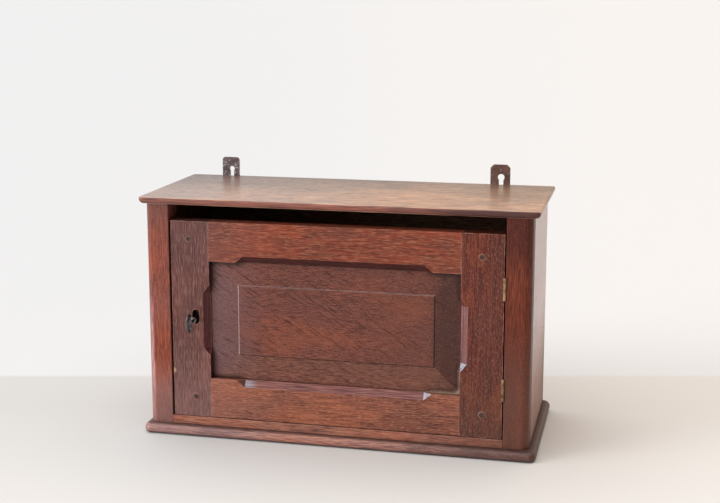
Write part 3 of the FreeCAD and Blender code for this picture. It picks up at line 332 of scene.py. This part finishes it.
class Oak:
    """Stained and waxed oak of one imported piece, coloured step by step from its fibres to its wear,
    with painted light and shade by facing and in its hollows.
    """

    def __init__(self, node, grain, seed, changes):
        self.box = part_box(node)
        self.grain = grain
        self.look = {**OAK_LOOK, **changes}
        self.mid = srgb(*self.look["mid"])
        self.made, self.g = material(node)
        g = self.g
        place = g.add("ShaderNodeTexCoord")
        self.spot = place.outputs["Object"]
        self.normal = place.outputs["Normal"]
        self.turned = g.turn(self.spot, GRAIN_TURN[grain], tuple(seed * step for step in GRAIN_STEP))
        sway = self.look["sway"]
        self.line = g.swayed(self.turned, WANDER_SCALE, WANDER_DETAIL, (0.0, sway, sway))
        self.cloud = g.noise(self.turned, CLOUDS)
        self.pores = g.span(self.fibres(self.line, PORE_LENGTH), *PORE_SPAN)
        added = g.maths("MULTIPLY_ADD", self.pores, PORE_ROUGH, g.times(self.cloud, CLOUD_ROUGH))
        self.rough = g.maths("ADD", self.look["rough"], added)
        self.stain()
        self.fade()
        self.draw_pores()
        self.shade_sides()
        self.wear()
        self.shade_patches()
        self.finish()

    def fibres(self, at, length):
        cells = (length, *self.look["thread"])
        return self.g.noise(at, Pattern(cells, FIBRE_DETAIL, FIBRE_ROUGHNESS))

    def lay(self, share, colour):
        """Lays a colour over what is there."""
        self.colour = self.g.mix(share, self.colour, colour)

    def grained_shade(self, shade):
        """A shade that runs from deep to pale with the fibres."""
        colour = srgb(*shade)
        return self.g.mix(self.grained, tinted(colour, DEEP_SHARE), tinted(colour, PALE_SHARE))

    def near(self, place, radius):
        """1 around a place on the piece's box, 0 from the radius on."""
        point = tuple(low + (high - low) * share for low, high, share in zip(*self.box, place))
        return self.g.span(self.g.vector("DISTANCE", self.spot, point), radius, radius * PATCH_CORE)

    def along(self, way, span):
        """Grows from 0 to 1 over a span of the piece's length along a way."""
        start, finish = sorted(Vector(way).dot(corner) for corner in self.box)
        return self.g.towards(self.spot, way, [start + (finish - start) * share for share in span])

    def stain(self):
        """Fibres of three widths, under darker and warmer clouds."""
        g, look = self.g, self.look
        fine = self.fibres(self.line, look["fibre"])
        medium = g.noise(self.line, MEDIUM_FIBRES)
        broad = g.noise(self.line, BROAD_FIBRES)
        streak = g.maths("MULTIPLY_ADD", medium, MEDIUM_SHARE, g.times(broad, BROAD_SHARE))
        self.streak = g.maths("MULTIPLY_ADD", fine, 1.0 - MEDIUM_SHARE - BROAD_SHARE, streak)
        reach = STREAK_REACH / look["contrast"]
        low, high = STREAK_MIDDLE - reach, STREAK_MIDDLE + reach
        self.grained = g.span(self.streak, low, high)
        self.colour = g.ramp(self.streak, (
            (low, tinted(self.mid, DEEP_SHARE)),
            (STREAK_MIDDLE, self.mid),
            (high, tinted(self.mid, PALE_SHARE)),
        ))
        self.lay(g.times(g.span(self.cloud, *TINT_SPAN), look["tint_share"]), srgb(*look["tint"]))
        self.lay(g.times(g.span(self.cloud, *GLOW_SPAN), look["glow_share"]), srgb(*look["glow"]))

    def fade(self):
        for way, span, shade, share, rough in self.look["fades"]:
            reached = self.along(way, span)
            self.lay(self.g.times(reached, share), srgb(*shade))
            if rough:
                self.rough = self.g.maths("MULTIPLY_ADD", reached, rough, self.rough)

    def draw_pores(self):
        """Open pores, pale scuffs, ray flecks and dark end grain."""
        g, look = self.g, self.look
        self.lay(g.times(self.pores, look["pore_share"]), tinted(self.mid, PORE_SHARE))
        scuffs = g.span(self.fibres(self.turned, look["dust_length"]), *SCUFF_SPAN)
        self.lay(g.times(scuffs, look["dust_share"]), srgb(*look["dust"]))
        if look["fleck_share"]:
            self.lay(g.times(self.flecks(), look["fleck_share"]), tinted(self.mid, FLECK_SHARE))
        facing = g.maths("ABSOLUTE", g.vector("DOT_PRODUCT", self.normal, GRAIN_WAY[self.grain]))
        self.lay(g.times(g.span(facing, *END_GRAIN_SPAN), END_GRAIN_SHARE), tinted(self.mid, END_SHARE))

    def flecks(self):
        """Thin short lines of the medullary rays, which cross the grain at a slant."""
        g = self.g
        bent = g.swayed(self.line, RAY_BEND_SCALE, RAY_BEND_DETAIL, RAY_BEND)
        slant = g.turn(bent, (0.0, math.radians(self.look["fleck_turn"]), 0.0))
        lines = g.span(g.noise(slant, RAYS), *RAY_SPAN)
        return g.times(lines, g.span(g.noise(self.line, RAY_GROUPS), *RAY_GROUP_SPAN))

    # painted light and shade by facing: highlights on what faces the window, shade on what faces away; on
    # the pegs it is the dark end grain
    def shade_sides(self):
        dulled = 0.0
        for way, span, shade, share in self.look["sides"]:
            towards = self.g.times(self.g.towards(self.normal, way, span), share)
            self.lay(towards, self.grained_shade(shade))
            dulled = self.g.maths("MAXIMUM", dulled, towards)
        if self.look["sides"]:
            self.rough = self.g.maths("MULTIPLY_ADD", dulled, SIDE_ROUGH, self.rough)

    def wear(self):
        """Rubbed edges, painted shade and grime darkening the hollows, and dust in the seams of a corner.
        """
        g, look = self.g, self.look
        ticks = g.span(g.noise(self.turned, TICKS), *TICK_SPAN)
        rubbed = g.times(g.arris(RUBBED_RADIUS), g.times(ticks, look["wear_share"]))
        self.lay(rubbed, srgb(*look["wear"]))
        # painted shade with some grime: gaps, recesses and the sunken panel's edges go nearly black where
        # the occlusion closes in
        hollow = g.add("ShaderNodeAmbientOcclusion", {"Distance": HOLLOW_REACH}, samples=EDGE_SAMPLES)
        shaded_hollow = g.span(hollow.outputs["AO"], *look["hollow_shade_and_grime_span"])
        self.lay(g.times(shaded_hollow, look["hollow_shade_and_grime_share"]), tinted(self.mid, HOLLOW_SHADE_AND_GRIME_SHARE))
        for place, radius, shade in look["corners"]:
            seam = g.span(hollow.outputs["AO"], *SEAM_SPAN)
            self.lay(g.times(self.near(place, radius), seam), srgb(*shade))

    # patches: some are painted highlights, on the left post's rounding and the lower chamfer; others are
    # tones and a chip
    def shade_patches(self):
        for place, radius, way, span, shade in self.look["patches"]:
            share = self.g.times(self.near(place, radius), self.g.towards(self.normal, way, span))
            self.lay(share, self.grained_shade(shade))

    def finish(self):
        g, look = self.g, self.look
        swell = g.times(g.noise(self.turned, SWELLS), SWELL_RELIEF)
        raised = g.maths("MULTIPLY_ADD", self.streak, STREAK_RELIEF, swell)
        height = g.maths("SUBTRACT", raised, g.times(self.pores, PORE_RELIEF))
        g.surface({
            "Base Color": self.colour,
            "Roughness": self.rough,
            "Normal": g.bump(look["bump"], RELIEF_DEPTH, height),
            "Coat Weight": look["coat"],
            "Coat Roughness": look["coat_rough"],
            "Specular IOR Level": look["specular"],
        })


# Metal: patterns, with the noise values where what they draw begins and where it is full
STAINS = Pattern((0.009, 0.009, 0.009), 4.0, 0.65)
PITS = Pattern((0.0022, 0.0022, 0.0022), 3.0, 0.6)
BLOTCHES = Pattern((0.0045, 0.0045, 0.0045), 3.0, 0.6)
STAIN_SPAN = (0.42, 0.60)
BLOTCH_SPAN = (0.54, 0.64)
METAL_STEP = (0.37, 0.53, 0.29)
METAL_ARRIS = 0.0006
PIT_DEPTH = 0.0005
PAINTED_SHADE_SPAN = (0.0, 0.6)
METAL_ROUGH_SPAN = (0.3, 0.7)
METAL_SMOOTHER, METAL_ROUGHER = 0.08, 0.2

# Metal: the look of old iron, with display colours from 0 to 255
METAL_LOOK = {
    "base": (96, 84, 80),
    "stain": (52, 40, 36),
    "bright": (170, 164, 160),
    "bright_share": 0.4,
    "edge_share": 0.45,
    "metallic": 0.85,
    "rough": 0.38,
    "pits": 0.35,
    "shade_share": 0.0,
}


def metal(name, seed, changes):
    """Old metal: dark stains, brighter rubbed blotches and edges, shallow pits, and where asked, painted
    shade on what faces right.
    """
    look = {**METAL_LOOK, **changes}
    stain = srgb(*look["stain"])
    bright = srgb(*look["bright"])
    made, g = material(name)
    place = g.add("ShaderNodeTexCoord")
    at = g.vector("ADD", place.outputs["Object"], tuple(seed * step for step in METAL_STEP))
    stains = g.noise(at, STAINS)
    colour = g.mix(g.span(stains, *STAIN_SPAN), srgb(*look["base"]), stain)
    blotch = g.span(g.noise(at, BLOTCHES), *BLOTCH_SPAN)
    colour = g.mix(g.times(blotch, look["bright_share"]), colour, bright)
    colour = g.mix(g.times(g.arris(METAL_ARRIS), look["edge_share"]), colour, bright)
    # painted shade: what faces right, away from the window, takes the stain colour
    if look["shade_share"]:
        painted_shade = g.towards(place.outputs["Normal"], RIGHT, PAINTED_SHADE_SPAN)
        colour = g.mix(g.times(painted_shade, look["shade_share"]), colour, stain)
    height = g.maths("ADD", g.noise(at, PITS), stains)
    smoothest, roughest = look["rough"] - METAL_SMOOTHER, look["rough"] + METAL_ROUGHER
    g.surface({
        "Base Color": colour,
        "Roughness": g.span(stains, *METAL_ROUGH_SPAN, smoothest, roughest),
        "Metallic": look["metallic"],
        "Normal": g.bump(look["pits"], PIT_DEPTH, height),
    })
    return made


# Case
TOP_BOARD = {
    "mid": (188, 137, 104),
    "tint": (128, 102, 90), "tint_share": 0.5, "glow": (234, 162, 104), "glow_share": 0.5,
    "sway": 0.0015, "fibre": 0.032, "thread": (0.0022, 0.0009), "contrast": 1.1, "pore_share": 0.5,
    "rough": 0.24, "coat": 0.2, "specular": 0.6, "bump": 0.5,
    "hollow_shade_and_grime_share": 0.3, "wear_share": 0.6, "dust_share": 0.2,
    "fades": (
        # painted reflection: paler and cooler towards the left end, for the cool sky mirrored there
        Fade(LEFT, (0.35, 0.89), (172, 152, 144), 0.6),
        Fade(BACK, (0.23, 0.94), (80, 60, 50), 0.8),
    ),
    "sides": (
        # painted highlight along the nose's upper arris
        Side(FRONT, ON_NOSE_TOP, (200, 156, 136), 0.5),
        Side(FRONT, ON_NOSE, (122, 46, 27), 0.85),
    ),
    "patches": (
        Patch((0.94, -0.03, 0.28), 0.17, FRONT, ON_NOSE_AND_BELOW, (72, 24, 14)),
        Patch((0.67, 0.27, 1.0), 0.10, UP, ON_BOARD_FACE, (188, 134, 99)),
    ),
}
PLINTH_BOARD = {
    "mid": (164, 110, 94), "contrast": 1.4,
    "rough": 0.38, "coat_rough": 0.3, "specular": 0.4,
    "fades": (
        # painted shade over the right part, and a painted lilac sheen over the left part
        Fade(RIGHT, (0.50, 0.96), (64, 34, 29), 0.85),
        Fade(LEFT, (0.62, 0.99), (146, 122, 128), 0.42),
    ),
    "sides": (
        Side(UP, ON_PLINTH_TOP, (66, 40, 34), 0.8),
        # painted shade on the right end, which faces away from the window
        Side(RIGHT, ON_PLINTH_END, (72, 52, 45), 0.6),
    ),
}
BOTTOM_BOARD = {
    "mid": (158, 100, 80),
    "fades": (Fade(RIGHT, (0.67, 0.97), (92, 56, 45), 0.7),),
}
LEFT_POST = {
    "mid": (136, 67, 51),
    "tint": (92, 54, 48), "tint_share": 0.5, "glow": (172, 80, 42), "glow_share": 0.45,
    "contrast": 0.9, "rough": 0.34, "dust_length": 0.003,
    "fades": (
        Fade(DOWN, (0.36, 0.70), (164, 112, 104), 0.5),
        Fade(DOWN, (0.74, 0.94), (112, 86, 80), 0.5),
        Fade(UP, (0.77, 0.98), (104, 66, 60), 0.6),
    ),
    "patches": (
        Patch((0.77, 0.0, 0.36), 0.06, FRONT, ON_POST_FRONT, (140, 66, 45)),
        # painted highlight along the left post's rounding, on its lower half
        Patch((0.16, 0.15, 0.30), 0.10, LEFT_POST_HIGHLIGHT_WAY, ON_POST_HIGHLIGHT, (180, 126, 118)),
    ),
}
RIGHT_POST = {
    "mid": (86, 36, 25),
    "tint": (76, 36, 30), "glow": (146, 60, 30),
    "contrast": 0.7, "rough": 0.4, "coat": 0.1, "specular": 0.1,
    "dust_length": 0.003, "dust_share": 0.06, "wear": (156, 120, 98), "wear_share": 0.5,
    "fades": (Fade(DOWN, (0.40, 0.77), (108, 72, 60), 0.65),),
    "patches": (Patch((0.44, 0.03, 0.68), 0.06, FRONT, ON_POST_FRONT, (112, 52, 35)),),
}
SIDE_PANEL = {
    "mid": (166, 104, 72), "rough": 0.12, "coat": 0.0, "specular": 1.0,
    # painted reflection: darker and rougher towards the bottom, where the darker floor is mirrored
    "fades": (Fade(DOWN, (0.47, 0.88), (120, 80, 60), 0.5, 0.3),),
}
BACK_BOARD = {"mid": (122, 88, 64), "rough": 0.6, "coat": 0.0}
HIDDEN_WOOD = {"mid": (116, 82, 60)}

# Door
STILE_GRAIN = {"fibre": 0.05, "sway": 0.001}
LOCK_STILE = {
    **STILE_GRAIN,
    "mid": (109, 62, 55), "glow_share": 0.1, "contrast": 1.5, "pore_share": 0.65,
    "dust": (172, 140, 134), "dust_length": 0.014, "dust_share": 0.35,
    "fades": (
        Fade(DOWN, (0.60, 0.98), (150, 114, 110), 0.4),
        Fade(UP, (0.67, 0.98), (84, 60, 60), 0.45),
    ),
    # painted shade on the chamfer and inner side, which face away from the window
    "sides": (Side(RIGHT, ON_FRAME_CHAMFER, (72, 18, 22), 0.85),),
    "patches": (Patch((0.004, 0.0, 0.232), 0.0042, FRONT, ON_FACET, (206, 160, 122)),),
}
HINGE_STILE = {
    **STILE_GRAIN,
    "mid": (94, 36, 25), "specular": 0.1, "contrast": 1.4, "pore_share": 0.4,
    "dust": (196, 140, 112), "dust_share": 0.2,
    "fades": (Fade(DOWN, (0.60, 0.98), (78, 55, 48), 0.65),),
    "sides": (
        # painted light on the chamfer, which faces the window; a painted highlight on its lower stop;
        # painted shade on its upper stop
        Side(LEFT, ON_FRAME_CHAMFER, (138, 102, 102), 0.5),
        Side(HINGE_STILE_LOW_STOP, ON_FACET, (168, 164, 174), 0.9),
        Side(HINGE_STILE_HIGH_STOP, ON_FACET, (104, 50, 40), 0.8),
    ),
}
RAIL_GRAIN = {"fibre": 0.03, "contrast": 1.2, "pore_share": 0.35}
TOP_RAIL = {
    **RAIL_GRAIN,
    "mid": (129, 56, 35), "glow": (172, 78, 39),
    "dust": (210, 144, 110), "dust_length": 0.009, "dust_share": 0.3,
    "fades": (Fade(LEFT, (0.65, 0.94), (96, 68, 68), 0.6),),
    # painted shade on the chamfer, which faces down
    "sides": (Side(DOWN, ON_FRAME_CHAMFER, (50, 10, 12), 0.85),),
}
BOTTOM_RAIL = {
    **RAIL_GRAIN,
    "mid": (138, 77, 58), "glow": (172, 96, 58),
    "dust": (214, 160, 126), "dust_length": 0.007, "dust_share": 0.28,
    "fades": (Fade(LEFT, (0.65, 0.94), (160, 106, 94), 0.4),),
    "sides": (
        # painted sheen on the chamfer, painted shade on its left stop and a painted highlight on its
        # right stop
        Side(LOW_RAIL_CHAMFER, ON_FACET, (128, 80, 76), 0.8),
        Side(LOW_RAIL_LEFT_STOP, ON_FACET, (56, 28, 26), 0.8),
        Side(LOW_RAIL_RIGHT_STOP, ON_FACET, (170, 164, 172), 0.9),
    ),
    # painted highlight on the chamfer's left end
    "patches": (Patch((0.211, 0.15, 0.917), 0.016, LOW_RAIL_CHAMFER, ON_FACET, (146, 128, 130)),),
}
DOOR_PANEL = {
    "mid": (111, 58, 45), "tint_share": 0.3, "glow_share": 0.2, "fibre": 0.010, "pore_share": 0.2,
    # a wide span of painted shade around the sunken panel's edges
    "dust_length": 0.0025, "hollow_shade_and_grime_span": (0.92, 0.55), "fleck_share": 0.85, "fleck_turn": -32.0,
    "fades": (
        Fade(RIGHT, (0.50, 0.88), (98, 54, 42), 0.55),
        # painted shade over the right margin, and a cooler painted shade over the left margin beside the
        # stile
        Fade(RIGHT, (0.855, 0.914), (50, 26, 22), 0.55),
        Fade(LEFT, (0.76, 0.94), (110, 86, 90), 0.55),
    ),
    "sides": (
        # painted shade on the right margin and on the field's lower and right steps, painted highlights
        # on its left and upper steps, painted light from below on the lower margin
        Side(RIGHT, ON_PANEL_MARGIN, (54, 28, 26), 0.3),
        Side(LEFT, ON_FIELD_STEP, (206, 180, 172), 0.6),
        Side(DOWN, ON_PANEL_MARGIN, (146, 100, 78), 0.2),
        Side(UP, ON_FIELD_STEP, (160, 132, 130), 0.25),
        Side(DOWN, ON_FIELD_STEP, (40, 20, 18), 0.8),
        Side(RIGHT, ON_FIELD_STEP, (40, 20, 18), 0.8),
    ),
    "corners": (Corner((0.98, 0.62, 0.04), 0.09, (178, 154, 130)),),
}
TENON_PEGS = {
    "mid": (104, 74, 64), "wear": (206, 190, 182), "wear_share": 0.5,
    "sides": (Side(FRONT, ON_PEG_END, (66, 44, 38), 0.8),),
}

# Wooden pieces with the axis of their grain and their look, and those whose arrises are eased
WOOD = (
    ("top_board", "X", TOP_BOARD),
    ("plinth_board", "X", PLINTH_BOARD),
    ("bottom_board", "X", BOTTOM_BOARD),
    ("left_post", "Z", LEFT_POST),
    ("right_post", "Z", RIGHT_POST),
    ("left_side_panel", "Z", SIDE_PANEL),
    ("right_side_panel", "Z", SIDE_PANEL),
    ("door_stop", "X", HIDDEN_WOOD),
    ("lock_stile", "Z", LOCK_STILE),
    ("hinge_stile", "Z", HINGE_STILE),
    ("top_rail", "X", TOP_RAIL),
    ("bottom_rail", "X", BOTTOM_RAIL),
    ("door_panel", "X", DOOR_PANEL),
    ("tenon_pegs", "Y", TENON_PEGS),
    ("top_dowels", "Z", HIDDEN_WOOD),
    ("back_board_1", "X", BACK_BOARD),
    ("back_board_2", "X", BACK_BOARD),
    ("back_board_3", "X", BACK_BOARD),
)
EASED = ("top_board", "plinth_board", "bottom_board", "left_post", "right_post", "left_side_panel",
         "right_side_panel", "lock_stile", "hinge_stile", "top_rail", "bottom_rail", "door_panel")

# Metal pieces
BRASS = {
    "base": (176, 134, 98), "stain": (88, 62, 44), "bright": (232, 204, 172),
    # the hinge knuckles carry painted shade on their right sides
    "metallic": 0.7, "rough": 0.32, "pits": 0.15, "shade_share": 0.8,
}
LEFT_HANGER = {
    "base": (128, 110, 110), "stain": (88, 72, 72), "bright": (226, 220, 220),
    "bright_share": 0.55, "metallic": 0.4,
}
RIGHT_HANGER = {
    "base": (128, 96, 86), "stain": (94, 68, 60), "bright": (176, 154, 144), "metallic": 0.4,
}
KEY_STEEL = {
    "base": (74, 66, 64), "stain": (38, 31, 29), "bright": (220, 214, 212),
    # its pale edges are partly rubbed steel and partly a painted highlight
    "bright_share": 0.2, "edge_share": 0.9, "metallic": 0.75, "rough": 0.3, "pits": 0.12,
}
IRON_NODES = ("hanger_screws", "plinth_screws", "back_nails", "lock_plate", "lock_cap", "lock_cap_rivets",
              "lock_screws", "lock_bolt", "lock_spring", "upper_hinge_pin", "lower_hinge_pin")
BRASS_NODES = ("upper_hinge_post_leaf", "upper_hinge_door_leaf", "lower_hinge_post_leaf",
               "lower_hinge_door_leaf", "hinge_post_screws", "hinge_door_screws")
METALS = (
    ("iron", 1.0, {}, IRON_NODES),
    ("brass", 2.0, BRASS, BRASS_NODES),
    ("left_hanger", 4.0, LEFT_HANGER, ("left_hanger",)),
    ("right_hanger", 5.0, RIGHT_HANGER, ("right_hanger",)),
    ("key_steel", 3.0, KEY_STEEL, ("key",)),
)


def dress(node, made):
    """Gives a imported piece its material."""
    slots = NODES[node].data.materials
    slots.clear()
    slots.append(made)


def ease(node):
    """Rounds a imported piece's sharp arrises a little, as handling does."""
    obj = NODES[node]
    weld = obj.modifiers.new("weld", "WELD")
    weld.merge_threshold = WELD_DISTANCE
    bevel = obj.modifiers.new("arris", "BEVEL")
    bevel.width = EASE_WIDTH
    bevel.segments = EASE_SEGMENTS
    bevel.limit_method = "ANGLE"
    bevel.angle_limit = math.radians(EASE_ANGLE)
    normals = obj.modifiers.new("normals", "WEIGHTED_NORMAL")
    normals.weight = NORMAL_WEIGHT


def dress_wood():
    for seed, (node, grain, look) in enumerate(WOOD, start=1):
        dress(node, Oak(node, grain, seed, look).made)
    for node in EASED:
        ease(node)


def dress_metal():
    for name, seed, look, nodes in METALS:
        made = metal(name, seed, look)
        for node in nodes:
            dress(node, made)


def build_stage():
    floor = bpy.data.meshes.new("floor")
    h = FLOOR_HALF
    floor.from_pydata([(-h, -h, 0), (h, -h, 0), (h, h, 0), (-h, h, 0)], [], [(0, 1, 2, 3)])
    obj = bpy.data.objects.new("floor", floor)
    bpy.context.scene.collection.objects.link(obj)
    obj.location = (CAMERA_PLACE[0], CAMERA_PLACE[1], -FLOOR_DROP)
    obj.rotation_euler = (0.0, 0.0, math.radians(CAMERA_YAW))
    made, g = material("floor")
    split = g.add("ShaderNodeSeparateXYZ", {0: g.add("ShaderNodeTexCoord").outputs["Object"]})
    ahead = split.outputs["Y"]
    slope = g.maths("DIVIDE", split.outputs["X"], g.maths("MAXIMUM", ahead, FLOOR_CHANGE))
    # painted light: the floor turns from cool on the left to warm on the right of the view
    warm_light = g.span(slope, *FLOOR_WARM_LIGHT_SLOPES)
    before = g.plain_mix(warm_light, FLOOR_NEAR_LEFT, FLOOR_NEAR_RIGHT)
    # painted light: paler in front of the cabinet, against the soft shade it throws there
    before = g.mix(g.span(ahead, *FLOOR_FRONT_REACH), (*FLOOR_FRONT, 1.0), before)
    beyond = g.plain_mix(warm_light, FLOOR_FAR_LEFT, FLOOR_FAR_RIGHT)
    far = g.span(ahead, FLOOR_CHANGE - FLOOR_SOFT, FLOOR_CHANGE + FLOOR_SOFT)
    g.surface({
        "Base Color": g.mix(far, before, beyond),
        "Roughness": FLOOR_ROUGH,
        "Specular IOR Level": FLOOR_SPECULAR,
    })
    floor.materials.append(made)


def far_light(name, way, angle, power, colour):
    """Even light from one way, as wide as the angle, which throws soft shadows."""
    lamp = bpy.data.lights.new(name, "SUN")
    lamp.energy = power
    lamp.angle = math.radians(angle)
    lamp.color = colour
    obj = bpy.data.objects.new(name, lamp)
    bpy.context.scene.collection.objects.link(obj)
    obj.location = way
    obj.rotation_euler = (-Vector(way)).to_track_quat("-Z", "Y").to_euler()


def build_light():
    far_light("window", WINDOW_WAY, WINDOW_ANGLE, WINDOW_POWER, WINDOW_COLOUR)
    far_light("lamp", LAMP_WAY, LAMP_ANGLE, LAMP_POWER, LAMP_COLOUR)
    world = bpy.data.worlds.new("room")
    bpy.context.scene.world = world
    world.use_nodes = True
    g = Graph(world.node_tree)
    split = g.add("ShaderNodeSeparateXYZ", {0: g.add("ShaderNodeTexCoord").outputs["Generated"]})
    front = g.plain_mix(g.span(split.outputs["X"], *SKY_LEFT_SPAN), SKY_RIGHT, SKY_LEFT)
    rear = g.plain_mix(g.span(split.outputs["X"], *SKY_BACK_RIGHT_SPAN), SKY_BACK_LEFT, SKY_BACK_RIGHT)
    tint = g.mix(g.span(split.outputs["Y"], *SKY_BACK_SPAN), front, rear)
    sky = g.add("ShaderNodeBackground", {"Color": tint, "Strength": SKY_STRENGTH})
    g.add("ShaderNodeOutputWorld", {"Surface": sky.outputs["Background"]})


def build_camera():
    lens = bpy.data.cameras.new("camera")
    lens.lens = CAMERA_LENS
    lens.sensor_width = SENSOR_WIDTH
    lens.sensor_fit = "HORIZONTAL"
    lens.shift_y = CAMERA_SHIFT
    camera = bpy.data.objects.new("camera", lens)
    bpy.context.scene.collection.objects.link(camera)
    camera.location = CAMERA_PLACE
    camera.rotation_euler = (math.radians(90 - CAMERA_PITCH), 0.0, math.radians(CAMERA_YAW))
    bpy.context.scene.camera = camera


build_stage()
build_light()
build_camera()
dress_wood()
dress_metal()
bpy.context.scene.view_settings.view_transform = "Standard"
